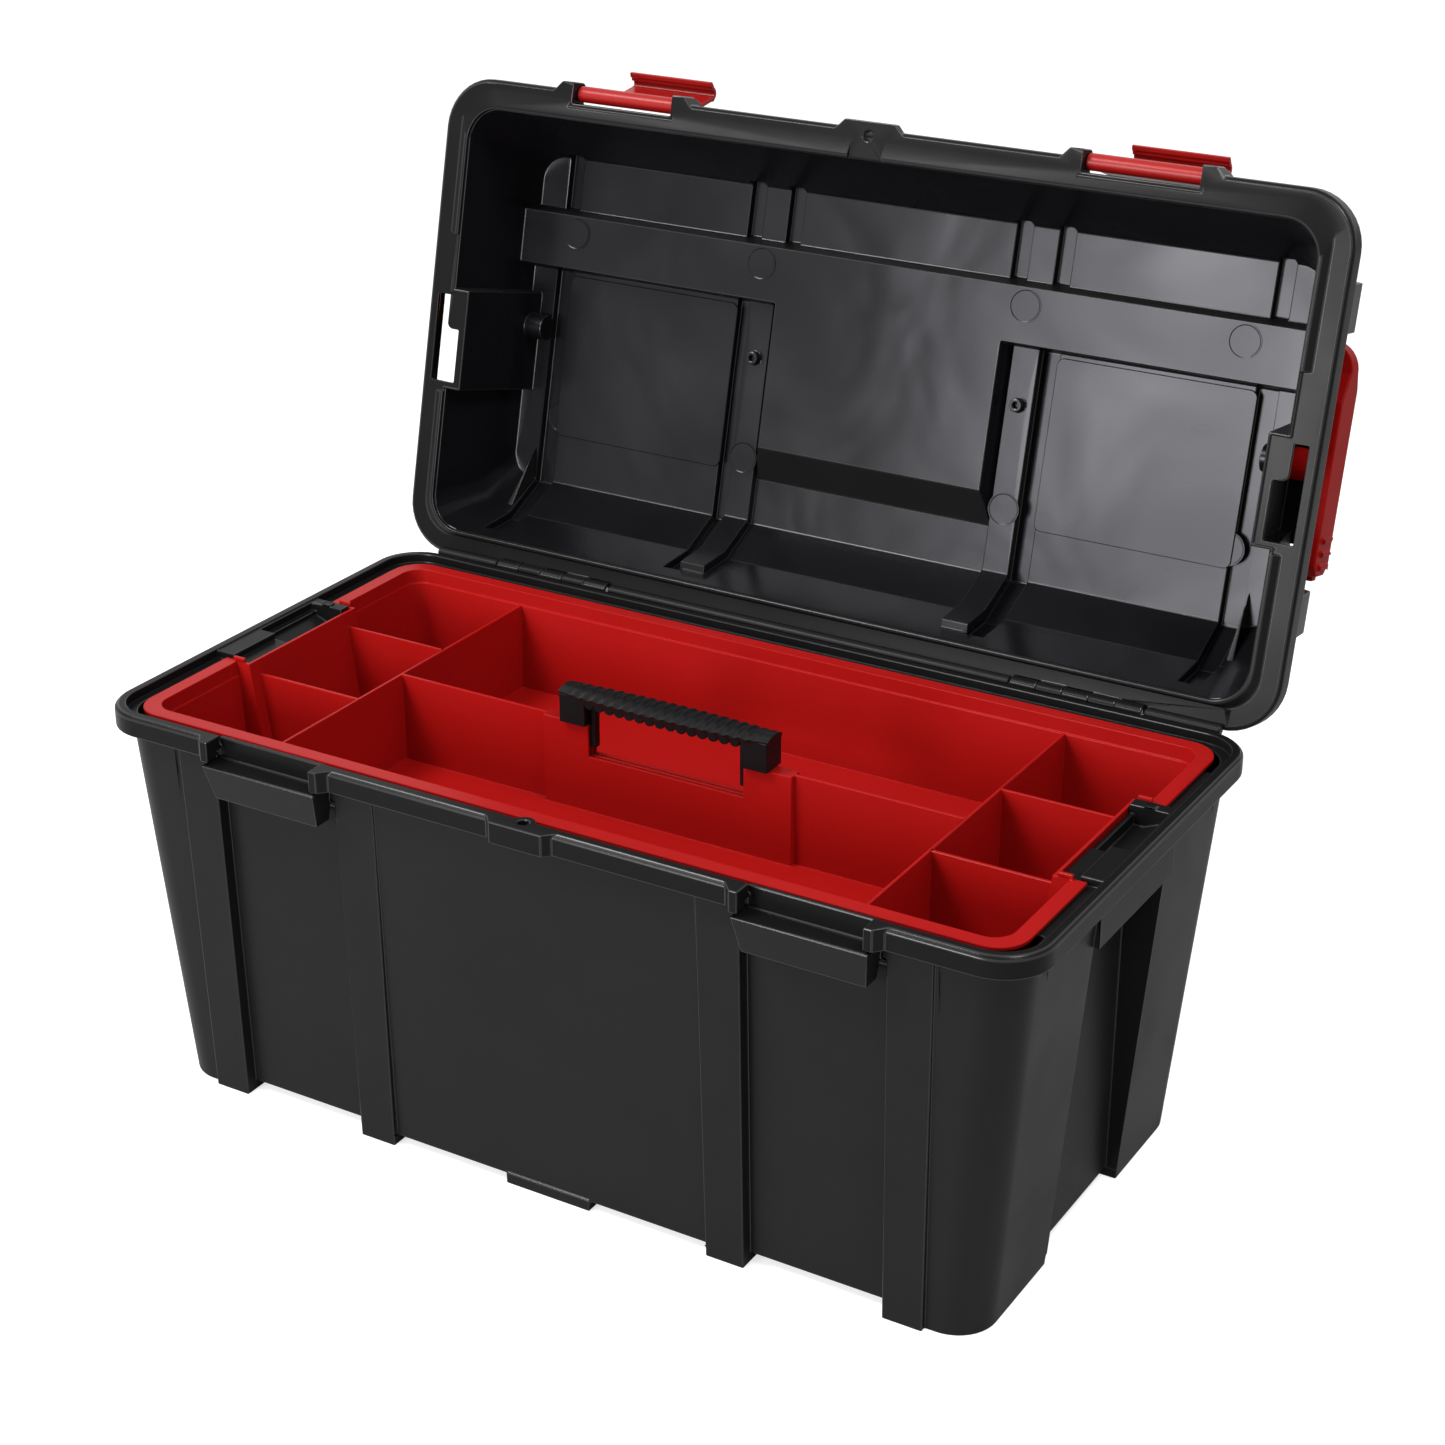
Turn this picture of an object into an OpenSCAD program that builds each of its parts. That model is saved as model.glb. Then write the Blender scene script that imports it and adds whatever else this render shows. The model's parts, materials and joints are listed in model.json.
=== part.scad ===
// Toolbox with a hinged lid, a lift-out tray, two swing latches and a folding carry handle.
// Millimetres, +Z up. The origin is the centre of the base's underside and the front faces -Y.
// The lid stands open, the tray is in its seat and the carry handle is folded into the lid.

/* [Box] */
// Height of the base from its feet to the rim
base_height = 234; // [200:1:270]
// Length of the base over its rim
rim_length = 571; // [540:1:620]
// Depth of the base over its rim, front to back
rim_depth = 289; // [270:1:320]
// Corner radius of the rim seen from above
rim_corner = 28; // [22:1:34]
// Thickness of the tub's walls and floor
wall = 3; // [2.4:0.1:3.6]
// Height of the skirt that hangs from the rim
skirt_height = 12.4; // [10:0.2:15]
// Width of the flat ring on top of the rim
ring_width = 6.5; // [5:0.1:8]
// Thickness of the rim's skirt and plates
rim_plate = 2.5; // [2:0.1:3]
// Width of the bevel around the outer edge of the rim and of the lid's flange
edge_bevel = 2; // [1:0.1:3]
// How far the rim stands out past the tub's wall
rim_overhang = 8.3; // [7.5:0.1:10]
// How much each end wall leans in from the rim to the feet
end_draft = 18; // [12:0.5:22]
// How much the front and back walls lean in from the rim to the feet
front_draft = 8.5; // [6:0.5:11]
// Corner radius of the tub
tub_corner = 23; // [18:1:28]

/* [Ribs and feet] */
// Distance from the middle of the box to the middle of each latch
latch_offset = 166; // [150:1:176]
// Distance between the middles of the two ribs beside each latch
rib_pitch = 105; // [98:1:112]
// Width of a rib at the rim
rib_top = 28; // [22:1:32]
// Width of a rib at its foot
rib_foot = 23; // [16:1:28]
// How far a rib stands out from the wall at the rim
rib_proud_top = 0.8; // [0.5:0.1:2]
// How far a rib stands out from the wall at its foot
rib_proud_foot = 3.3; // [2.5:0.1:5]
// How far the panel under a latch lies behind its ribs
panel_depth = 7.5; // [5:0.5:8]
// Height of the feet under the floor
foot_height = 6; // [4:0.5:8]
// Width of the runner under the middle of the floor
runner_width = 54; // [40:1:70]
// Half of the width of the sunken panel in each end wall
end_panel_half = 45; // [38:1:50]
// How far the sunken end panel lies in from the rim's end
end_panel_inset = 32.5; // [29:0.5:34]
// Thickness of the wall behind the sunken end panel
end_panel_wall = 2.2; // [1.8:0.1:2.6]

/* [Latch keepers] */
// Clear width between the two ears beside each latch
ear_gap = 69; // [64:1:74]
// Width of an ear on the base
keeper_ear = 5; // [4:0.5:8]
// Width of an ear on the lid
ear_width = 8; // [6:0.5:9]
// How far the ears stand out past the rim
ear_proud = 5; // [4:0.5:6]
// How far the rim is cut back between the ears
ear_recess = 7.5; // [6.5:0.5:8]
// Depth of the keeper's lower edge below the rim
keeper_drop = 35; // [32:0.5:38]
// Thickness of the keeper's lip
keeper_lip = 2.5; // [2:0.1:3]
// How far the keeper's top edge stands out past the rim
keeper_out_top = 6; // [5.5:0.5:6.5]
// How far the keeper's lower edge stands out past the rim
keeper_out_foot = 0.5; // [0.5:0.5:3]

/* [Padlock tabs] */
// Half of the width of a padlock tab at its outer edge
tab_half = 16; // [14:1:20]
// How far the padlock tabs stand out past the rim
tab_proud = 4.2; // [3.5:0.1:5]
// Radius of the padlock holes
padlock_r = 3; // [2.5:0.1:3.5]
// Distance of the padlock holes in from the rim's front edge
padlock_inset = 4.5; // [4:0.1:5]
// Thickness of the boss around a padlock hole
padlock_boss = 3.5; // [3:0.1:4]

/* [Lid] */
// How far the lid reaches past each end of the rim
lid_over = 5; // [3.5:0.5:6]
// Height of the lid's flange
flange_height = 13; // [11:0.5:15]
// Inside height of the lid above the rim
lid_inside = 66; // [60:1:72]
// Inside height at which the back of the lid starts to slope
lid_shoulder = 40; // [36:1:44]
// Thickness of the lid's walls
lid_wall = 2.5; // [2:0.1:3]
// Corner radius of the lid's flange
lid_corner = 31; // [26:1:36]
// Opening angle of the lid as it stands
lid_angle = 103.4; // [95:0.1:110]
// Depth of the grip channel and hand recess in the lid's top
channel_depth = 13; // [12:0.5:15]
// Half of the width of the hand recess
hand_half = 75; // [68:1:78]
// How much each end wall of the lid leans in from its flange to its top
lid_lean = 14; // [8:0.5:18]
// Depth of the stiffening grooves inside the lid
groove_depth = 5; // [2:0.5:6]
// Width of the short stiffening grooves in front of the grip channel
groove_width = 5; // [4:0.5:6]
// Width of the long stiffening grooves behind the grip channel
long_groove_width = 8; // [6:0.5:9]
// Width of the raised leg beside each end of the hand recess
leg_width = 17; // [14:0.5:18]
// How far a raised leg stands into the lid
leg_height = 5; // [3:0.5:6]
// Radius of the assembly studs on the legs
leg_stud_r = 4; // [3:0.5:5]
// How far the seal lip hangs below the lid's flange
seal_drop = 2.2; // [1.6:0.1:2.6]
// Half of the width of the handle end of the bay in each end of the lid
bay_half = 31; // [29:0.5:33]
// Height of the small upstands beside the tray's end notches
upstand = 3; // [2:0.5:3]

/* [Tray] */
// Distance of the tray's top below the rim
tray_drop = 3; // [2.5:0.1:4]
// Depth of the tray
tray_depth = 64; // [56:1:66]
// Thickness of the tray's flange
tray_flange = 2.2; // [1.8:0.1:2.6]
// Thickness of the tray's walls and floor
tray_wall = 2; // [1.6:0.1:2.4]
// Width of the tray's flange
tray_flange_width = 9; // [8.5:0.1:10]
// Gap between the tray's flange and the rim's inner edge
tray_margin = 8; // [7:0.1:8.5]
// Distance from the middle to each cross wall
cross_wall_x = 181.5; // [170:0.5:190]
// Distance from the middle to the short end dividers
divider_y = 41; // [36:0.5:43]
// Depth of the divider tops below the tray's top
divider_drop = 8.5; // [7.5:0.5:11]
// Thickness of the middle part of the centre wall, which carries the handle
spine = 9; // [8:0.5:11]
// Half of the length of the thick middle part
spine_half = 80; // [76:1:90]
// Half of the length of the finger cut-out
cutout_half = 50; // [46:1:54]
// Depth of the finger cut-out below the rim
cutout_drop = 31; // [27:1:36]

/* [Tray handle] */
// Half of the length of the comb grip
grip_half = 67; // [64:1:72]
// Width of the comb grip
comb_width = 22; // [18:1:26]
// Thickness of the comb grip
comb_height = 10; // [8:0.5:11]
// Height of the comb grip's top above the rim
comb_rise = 9; // [8:0.5:12]
// Number of ribs on the comb grip
comb_ribs = 16; // [10:1:18]

/* [Latches] */
// Radius of a latch's barrel
barrel_r = 4.8; // [4.4:0.1:5]
// Height of a latch's axis above the rim
barrel_rise = 10; // [9:0.5:11]
// Width of a latch's plate
plate_width = 58; // [50:1:62]
// Thickness of a latch's plate
plate = 2.6; // [2.2:0.1:3]
// Radius of the stubs that a latch turns on
stub_r = 2.4; // [2:0.1:2.8]
// How far the left latch stands open
left_angle = 158; // [120:1:170]
// How far the right latch stands open
right_angle = 164; // [120:1:173]

/* [Carry handle] */
// Height of the handle's axis above the rim
pivot_rise = 60; // [58:0.5:61]
// Distance of the handle's axis behind the middle of the box
pivot_y = 6; // [4:0.5:7]
// Length of a handle arm behind its axis, down to the thumb end
lever_length = 59.5; // [50:0.5:60]
// Width of a handle arm
arm_width = 24; // [20:1:26]
// Thickness of a handle arm
arm_thick = 6.5; // [5.5:0.1:7]
// Width of the handle's grip bar
grip_width = 25; // [22:0.5:25.5]
// Thickness of the handle's grip bar
grip_thick = 12; // [10:0.5:12.2]
// Radius of the handle's pivot pins
pivot_r = 4; // [3.5:0.1:4.5]
// Height of the thumb ridges on the end of each arm
ridge = 1.8; // [1.2:0.1:2]
// How far the locking tongues reach into the base when the handle is raised
tongue_reach = 4; // [2:0.5:5]
// Width of a locking tongue
tongue_width = 7; // [5:0.5:7]

/* [Hinges] */
// Distance of the hinge axis behind the rim's back edge
hinge_out = 4.8; // [4.7:0.1:5.2]
// Distance of the hinge axis below the rim
hinge_drop = 1.9; // [1.6:0.1:2.2]
// Distance from the middle of the box to the middle of each hinge
hinge_offset = 176; // [160:1:190]
// Length of each hinge
hinge_length = 80; // [70:1:90]
// Radius of a hinge knuckle
knuckle_r = 4.3; // [4:0.1:4.4]
// Radius of a hinge pin
pin_r = 2; // [1.6:0.1:2.2]

/* [Clearances] */
// Gap between pieces that close on each other
gap = 0.3; // [0.2:0.05:0.4]
// Radial gap of a pin in its bore
fit = 0.05; // [0.03:0.01:0.1]

/* [Hidden] */
corner_steps = 10;
skin = 0.01;
far = 400;
black = [0.17, 0.17, 0.18];
red = [0.72, 0.09, 0.08];
steel = [0.62, 0.63, 0.65];
$fn = 48;

// Rim and tub
rim_x = rim_length / 2;
rim_y = rim_depth / 2;
wall_x = rim_x - rim_overhang;
wall_y = rim_y - rim_overhang;
foot_x = wall_x - end_draft;
foot_y = wall_y - front_draft;
wall_top = base_height - skirt_height;
seat_z = base_height - tray_drop - tray_flange - gap;
end_panel_x = rim_x - end_panel_inset;
end_panel_top = base_height - 39;
rib_offsets = [latch_offset - rib_pitch / 2, latch_offset + rib_pitch / 2];
ledge_reach = 6.2;
keeper_half = ear_gap / 2 + 1.5;
keeper_top = base_height - 14;
keeper_foot = base_height - keeper_drop;

// Hook zone at each end of the rim
block_x = rim_x - 30.2;
hook_pocket = [-9, 39];
hook_pocket_z = [base_height - 12, base_height - 7, base_height - 6];
hook_step = 3;

// Tray
tray_top = base_height - tray_drop;
tray_x = rim_x - ring_width - tray_margin;
tray_y = rim_y - ring_width - 7;
tray_in_x = tray_x - tray_flange_width;
tray_in_y = tray_y - tray_flange_width;
tray_floor = tray_top - tray_depth;
divider_top = tray_top - divider_drop;
tray_draft = 3.5;
notch_half = end_panel_half + end_panel_wall + gap * 2;
notch_x = block_x - gap;
notch_foot_x = end_panel_x - end_panel_wall - 5;

// Lid, measured closed
lid_x = rim_x + lid_over;
lid_front = -rim_y + 0.5;
lid_back = rim_y + 5.5;
lid_in_x = lid_x - 18.5;
lid_in_front = lid_front + 17;
lid_in_back = lid_back - 16;
lid_in_corner = 21;
front_lean = 26;
back_lean = 11;
slope_reach = 59;
hinge_y = rim_y + hinge_out;
hinge_z = base_height - hinge_drop;
latch_y = -rim_y + 2.5;
latch_z = base_height + barrel_rise;
channel_y = [-67, -34];
recess_back = 54;
bay_middle = 16;
bay_y = [bay_middle - bay_half, bay_middle + bay_half];
bay_x = [lid_x - 27.5, lid_x - 38];
slot_y = [bay_y[0] + 4, bay_y[1] - 4];
arm_x = lid_x - 14.2;
slot_x = [lid_x - 24, lid_x - 7];
slot_tab_y = bay_middle - 6;
tongue_x = [lid_in_x + 0.6, arm_x + 1];
leg_x = [80, 80 + leg_width];
grooves_front = [hand_half, leg_x[1] + groove_width, 234];
grooves_back = [leg_x[1] + long_groove_width / 2 + 0.3, 234];
pivot_z = base_height + pivot_rise;
hub_r = pivot_r + 5;
bulge_front = [-97, -70];
bulge_back = [72, 96];

// ---------- Shared shapes ----------

function arc(cx, cy, r, a0) = [
    for (i = [0 : corner_steps])
        let (a = a0 + 90 * i / corner_steps)
        [cx + r * cos(a), cy + r * sin(a)]
];

function round_box(x0, x1, y0, y1, r) = concat(
    arc(x1 - r, y1 - r, r, 0),
    arc(x0 + r, y1 - r, r, 90),
    arc(x0 + r, y0 + r, r, 180),
    arc(x1 - r, y0 + r, r, 270)
);

// A plate with rounded corners, centred on X
module slab(half_x, y0, y1, r, z0, z1) {
    translate([0, 0, z0])
        linear_extrude(z1 - z0)
            polygon(round_box(-half_x, half_x, y0, y1, r));
}

module block(x0, x1, y0, y1, z0, z1) {
    translate([x0, y0, z0])
        cube([x1 - x0, y1 - y0, z1 - z0]);
}

// Extrudes a [y, z] outline along X
module along_x(x0, x1, points) {
    translate([x0, 0, 0])
        rotate([90, 0, 90])
            linear_extrude(x1 - x0)
                polygon(points);
}

// Extrudes an [x, z] outline along Y
module along_y(y0, y1, points) {
    translate([0, y1, 0])
        rotate([90, 0, 0])
            linear_extrude(y1 - y0)
                polygon(points);
}

// A cylinder along X
module rod(x0, x1, y, z, r) {
    translate([x0, y, z])
        rotate([0, 90, 0])
            cylinder(h = x1 - x0, r = r);
}

module both_ends() {
    children();
    mirror([1, 0, 0]) children();
}

module front_and_back() {
    children();
    mirror([0, 1, 0]) children();
}

// ---------- Base ----------

// Distance of the wall's outer face from the middle at height z
function wall_y_at(z) = foot_y + front_draft * z / wall_top;
function rib_y_at(z) = wall_y_at(z) + rib_proud_foot + (rib_proud_top - rib_proud_foot) * z / wall_top;

module tub_outside() {
    hull() {
        slab(foot_x, -foot_y, foot_y, tub_corner, 0, skin);
        slab(wall_x, -wall_y, wall_y, tub_corner, wall_top, wall_top + skin);
    }
}

module tub_inside() {
    inset = wall * (wall_top - foot_height) / wall_top;
    hull() {
        slab(foot_x - inset, -foot_y + inset, foot_y - inset, tub_corner - wall,
            foot_height + wall, foot_height + wall + skin);
        slab(wall_x - wall, -wall_y + wall, wall_y - wall, tub_corner - wall,
            wall_top, wall_top + skin);
    }
    slab(wall_x - wall, -wall_y + wall, wall_y - wall, tub_corner - wall,
        wall_top - skin, base_height + 1);
}

// The ribs' front faces follow one sloping plane, and each tapers towards its foot
module ribs(inset = 0) {
    top = wall_top - inset * 3;
    foot = inset > 0 ? foot_height + wall : 0;
    intersection() {
        along_x(-far, far, [
            [-rib_y_at(top) + inset, top],
            [-rib_y_at(foot) + inset, foot],
            [-foot_y + wall * 2 + panel_depth, foot],
            [-foot_y + wall * 2 + panel_depth, top]
        ]);
        both_ends()
            for (x = rib_offsets)
                along_y(-far, 0, [
                    [x - rib_top / 2 + inset, top],
                    [x - rib_foot / 2 + inset, foot],
                    [x + rib_foot / 2 - inset, foot],
                    [x + rib_top / 2 - inset, top]
                ]);
    }
}

// The sunken panel between the two ribs beside each latch
module panel_between_ribs(inset) {
    top = keeper_foot + 6;
    x0 = rib_offsets[0] + rib_foot / 2 - inset;
    x1 = rib_offsets[1] - rib_foot / 2 + inset;
    y_top = -rib_y_at(top) + panel_depth + inset;
    y_foot = -rib_y_at(0) + panel_depth + inset;
    along_x(x0, x1, [
        [y_top, top + inset],
        [y_foot, -1],
        [-far, -1],
        [-far, top + inset + panel_depth],
        [y_top - panel_depth, top + inset + panel_depth]
    ]);
}

module end_panel(inset) {
    x = end_panel_x - inset;
    half = end_panel_half + inset;
    along_y(-half, half, [
        [x, -1],
        [x, end_panel_top],
        [wall_x + 2, end_panel_top + wall_x + 2 - x - 4],
        [far, end_panel_top + wall_x + 2 - x - 4],
        [far, -1]
    ]);
}

// Everything under the floor except the feet, the rib feet and the runner
module under_floor() {
    difference() {
        block(-far, far, -far, far, -1, foot_height);
        both_ends()
            front_and_back()
                block(rib_offsets[1], far, -far, -end_panel_half - 1, -2, foot_height + 1);
        both_ends()
            front_and_back()
                for (x = rib_offsets)
                    block(x - rib_foot / 2, x + rib_foot / 2, -far, -foot_y + 14, -2, foot_height + 1);
        block(-runner_width / 2, runner_width / 2, -far, far, -2, foot_height + 1);
    }
}

module rim() {
    difference() {
        hull() {
            slab(rim_x, -rim_y, rim_y, rim_corner, wall_top, base_height - edge_bevel);
            slab(rim_x - edge_bevel, -rim_y + edge_bevel, rim_y - edge_bevel, rim_corner - edge_bevel,
                base_height - skin, base_height);
        }
        difference() {
            slab(rim_x - rim_plate, -rim_y + rim_plate, rim_y - rim_plate, rim_corner - rim_plate,
                wall_top - 1, seat_z - rim_plate);
            slab(wall_x, -wall_y, wall_y, tub_corner, wall_top - 2, seat_z);
        }
        slab(rim_x - ring_width, -rim_y + ring_width, rim_y - ring_width, rim_corner - ring_width,
            seat_z, base_height + 1);
    }
}

// The tray's flange rests on this ledge
module tray_ledge() {
    reach_y = wall_y - wall - ledge_reach;
    reach_x = wall_x - wall - ledge_reach;
    front_and_back()
        along_x(-wall_x + 42, wall_x - 42, [
            [-wall_y + skin, seat_z],
            [-reach_y, seat_z],
            [-reach_y, seat_z - 2],
            [-wall_y + wall - skin, seat_z - 2 - ledge_reach],
            [-wall_y + skin, seat_z - 2 - ledge_reach]
        ]);
    both_ends()
        front_and_back()
            along_y(end_panel_half, wall_y - 32, [
                [wall_x - skin, seat_z],
                [reach_x, seat_z],
                [reach_x, seat_z - 2],
                [wall_x - wall + skin, seat_z - 2 - ledge_reach],
                [wall_x - skin, seat_z - 2 - ledge_reach]
            ]);
}

// Plan outline of a tab with slanted flanks on the front edge
function tab_plan(half, y_root, y_out, flank) = [
    [-half - flank, y_root],
    [-half, y_out],
    [half, y_out],
    [half + flank, y_root]
];

module tab(half, y_root, y_out, flank, z0, z1) {
    translate([0, 0, z0])
        linear_extrude(z1 - z0)
            polygon(tab_plan(half, y_root, y_out, flank));
}

// Two ears and the hanging lip that a latch hooks under
module keeper() {
    y_top = -rim_y - keeper_out_top;
    y_foot = -rim_y - keeper_out_foot;
    y_back = -wall_y + 2;
    translate([latch_offset, 0, 0])
        difference() {
            union() {
                tab(ear_gap / 2 + keeper_ear, -rim_y + 3, -rim_y - ear_proud, 7, wall_top, base_height);
                block(-ear_gap / 2 - 1, ear_gap / 2 + 1, -rim_y + ear_recess, -rim_y + ear_recess + rim_plate,
                    keeper_top, base_height - 1.5);
                intersection() {
                    along_x(-far, far, [
                        [y_top, keeper_top],
                        [y_foot, keeper_foot],
                        [y_back, keeper_foot],
                        [y_back, keeper_top]
                    ]);
                    along_y(-far, 0, [
                        [-keeper_half - 2, keeper_top],
                        [-keeper_half + 1, keeper_foot],
                        [keeper_half - 1, keeper_foot],
                        [keeper_half + 2, keeper_top]
                    ]);
                }
            }
            along_x(-ear_gap / 2, ear_gap / 2, [
                [-far, keeper_top],
                [-far, base_height + 1],
                [-rim_y + ear_recess, base_height + 1],
                [-rim_y + ear_recess, keeper_top]
            ]);
            along_x(-keeper_half + 7.5, keeper_half - 7.5, [
                [y_top + keeper_lip, keeper_top - keeper_lip],
                [y_foot + keeper_lip, keeper_foot - 1],
                [-wall_y - 1, keeper_foot - 1],
                [-wall_y - 1, keeper_top - keeper_lip]
            ]);
        }
}

module keeper_recess() {
    translate([latch_offset, 0, 0])
        block(-ear_gap / 2, ear_gap / 2, -far, -rim_y + ear_recess, keeper_top, base_height + 1);
}

// Solid shelf at each end with the pocket that the carry handle's lever drops into
module hook_zone() {
    half = end_panel_half + end_panel_wall - 0.7;
    difference() {
        union() {
            block(block_x, rim_x - ring_width + skin, -half, half,
                end_panel_top, base_height - 1);
            block(slot_x[0] - hook_step, slot_x[0] + hook_step, hook_pocket[1], hook_pocket[1] + 5,
                base_height - 2, base_height - gap);
        }
        along_y(hook_pocket[0], hook_pocket[1], [
            [block_x + hook_step, hook_pocket_z[0]],
            [block_x + hook_step * 3, hook_pocket_z[0]],
            [tongue_x[1] + gap, hook_pocket_z[1]],
            [tongue_x[1] + gap, base_height + 1],
            [block_x - 1, base_height + 1],
            [block_x - 1, hook_pocket_z[2]],
            [block_x + hook_step, hook_pocket_z[2]]
        ]);
        block(block_x - 1, slot_x[0], -half - 1, hook_pocket[0] + skin, hook_pocket_z[2] + 1, base_height);
    }
}

function knuckle_edges(count) = [
    for (i = [0 : count]) hinge_offset - hinge_length / 2 + hinge_length * i / count
];
hinge_edges = knuckle_edges(5);

// Odd knuckles belong to the base, even ones to the lid
module base_knuckles() {
    for (i = [0, 2, 4]) {
        x0 = hinge_edges[i] + gap / 2;
        x1 = hinge_edges[i + 1] - gap / 2;
        rod(x0, x1, hinge_y, hinge_z, knuckle_r);
        along_x(x0, x1, [
            [rim_y - 3, wall_top + 1],
            [rim_y - 3, base_height - gap],
            [hinge_y, base_height - gap],
            [hinge_y, hinge_z - knuckle_r]
        ]);
    }
}

module lid_knuckles() {
    for (i = [1, 3]) {
        x0 = hinge_edges[i] + gap / 2;
        x1 = hinge_edges[i + 1] - gap / 2;
        rod(x0, x1, hinge_y, hinge_z, knuckle_r);
        along_x(x0, x1, [
            [hinge_y - knuckle_r, hinge_z],
            [hinge_y + knuckle_r, hinge_z],
            [hinge_y + knuckle_r, hinge_z + 2],
            [lid_back - 1, base_height + 8],
            [hinge_y - knuckle_r, base_height + 8]
        ]);
    }
}

module base_body() {
    difference() {
        union() {
            difference() {
                tub_outside();
                both_ends() end_panel(0);
            }
            rim();
            front_and_back() ribs();
            block(-runner_width / 2, runner_width / 2, -foot_y - 1, foot_y + 1, 0, foot_height + 1);
        }
        difference() {
            union() {
                tub_inside();
                front_and_back() ribs(wall);
            }
            both_ends() {
                end_panel(end_panel_wall);
                front_and_back() panel_between_ribs(wall);
            }
        }
        both_ends() front_and_back() panel_between_ribs(0);
        under_floor();
        both_ends() keeper_recess();
    }
}

module base() {
    color(black)
        difference() {
            union() {
                base_body();
                tray_ledge();
                both_ends() {
                    keeper();
                    hook_zone();
                    base_knuckles();
                }
                tab(tab_half, -rim_y + 3, -rim_y - tab_proud, 7, wall_top, base_height);
                translate([0, -rim_y + padlock_inset, wall_top])
                    cylinder(h = skirt_height, r = padlock_r + padlock_boss);
            }
            translate([0, -rim_y + padlock_inset, wall_top - 1])
                cylinder(h = skirt_height + 2, r = padlock_r);
            both_ends()
                rod(hinge_edges[0] - 1, hinge_edges[5] + 1, hinge_y, hinge_z, pin_r + fit);
        }
}

// ---------- Lid, drawn closed ----------

// The lid's [y, z] profile, moved out by e
function lid_profile(e) = [
    [lid_in_front - e, base_height + gap],
    [lid_in_front + front_lean - e, base_height + lid_inside + e],
    [lid_in_back - slope_reach + e / 2, base_height + lid_inside + e],
    [lid_in_back - back_lean + e, base_height + lid_shoulder + e / 2],
    [lid_in_back + e, base_height + gap]
];

module lid_form(e, z0) {
    profile = lid_profile(e);
    share = lid_shoulder / lid_inside;
    hull() {
        slab(lid_in_x + e, profile[0][0], profile[4][0], lid_in_corner + e, z0, z0 + skin);
        slab(lid_in_x - lid_lean * share + e, lid_in_front + front_lean * share - e, profile[3][0],
            lid_in_corner - 1 + e, profile[3][1], profile[3][1] + skin);
        slab(lid_in_x - lid_lean + e, profile[1][0], profile[2][0], lid_in_corner - 5 + e,
            profile[1][1] - skin, profile[1][1]);
    }
}

module flange_plate(inset, z0, z1) {
    slab(lid_x - inset, lid_front + inset, lid_back - inset, lid_corner - inset, z0, z1);
}

module lid_flange() {
    z0 = base_height + gap;
    shoulder = base_height + flange_height;
    difference() {
        hull() {
            flange_plate(edge_bevel, z0, z0 + skin);
            flange_plate(0, z0 + edge_bevel, shoulder - 1);
            flange_plate(1.5, shoulder - 1, shoulder + 1);
        }
        slab(lid_in_x, lid_in_front, lid_in_back, lid_in_corner, z0 - 1, shoulder + 2);
    }
}

// The flange rolls over into a lip that hangs inside the rim's ring
module seal_lip() {
    out = ring_width + gap * 2;
    low = base_height - seal_drop;
    lip = 2;
    difference() {
        hull() {
            slab(rim_x - out, -rim_y + out, rim_y - out, rim_corner - out,
                base_height + gap, base_height + gap + skin);
            slab(lid_in_x + lip, lid_in_front - lip, lid_in_back + lip, lid_in_corner + lip, low, low + skin);
        }
        slab(lid_in_x, lid_in_front, lid_in_back, lid_in_corner, low - 1, base_height + 1);
        block(-far, far, -end_panel_half - 4, end_panel_half + 4, low - 1, base_height + gap);
        block(-padlock_boss * 3, padlock_boss * 3, -far, 0, low - 1, base_height + gap);
        both_ends()
            translate([latch_offset, 0, 0])
                block(-ear_gap / 2 - 2, ear_gap / 2 + 2, -far, -rim_y + ear_recess + rim_plate + 1,
                    low - 1, base_height + gap);
    }
}

// Sunken channel for the grip, open at both ends, and the hand recess behind it,
// whose sides and back slope up to the lid's top
module grip_recess(e) {
    z = base_height + lid_inside - channel_depth + e;
    top = base_height + lid_inside + 9;
    back_slope = 1.6;
    side_slope = 0.35;
    rise = top - z;
    along_x(-far, far, [
        [channel_y[0] + e, z],
        [channel_y[0] - 4 + e, top],
        [channel_y[1] + 4 - e, top],
        [channel_y[1] - e, z]
    ]);
    intersection() {
        along_x(-far, far, [
            [channel_y[0] + 8, z],
            [recess_back - e / 4, z],
            [recess_back - e / 4 + rise * back_slope, top],
            [channel_y[0] + 8, top]
        ]);
        along_y(-far, far, [
            [-hand_half + e, z],
            [-hand_half + e - rise * side_slope, top],
            [hand_half - e + rise * side_slope, top],
            [hand_half - e, z]
        ]);
    }
}

module stiffener(x, width, e, y0, y1) {
    intersection() {
        along_x(x - width / 2, x + width / 2, lid_profile(e));
        block(-far, far, y0, y1, base_height + flange_height, far * 2);
    }
}

// Short grooves in front of the grip channel and long ones behind it
module stiffeners(extra, e) {
    y_front = lid_in_front + front_lean - extra / 2;
    both_ends() {
        for (x = grooves_front)
            stiffener(x, groove_width + extra, e, y_front, channel_y[0]);
        for (x = grooves_back)
            stiffener(x, long_groove_width + extra, e, channel_y[1], far);
    }
}

// The bay in each end of the lid, where the arm's hub works; its inner wall slopes
module end_bay_outside() {
    along_y(bay_y[0], bay_y[1], [
        [bay_x[0] - lid_wall, base_height + gap],
        [bay_x[1] - lid_wall, base_height + lid_inside + lid_wall],
        [lid_in_x, base_height + lid_inside + lid_wall],
        [lid_in_x, base_height + gap]
    ]);
}

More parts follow.
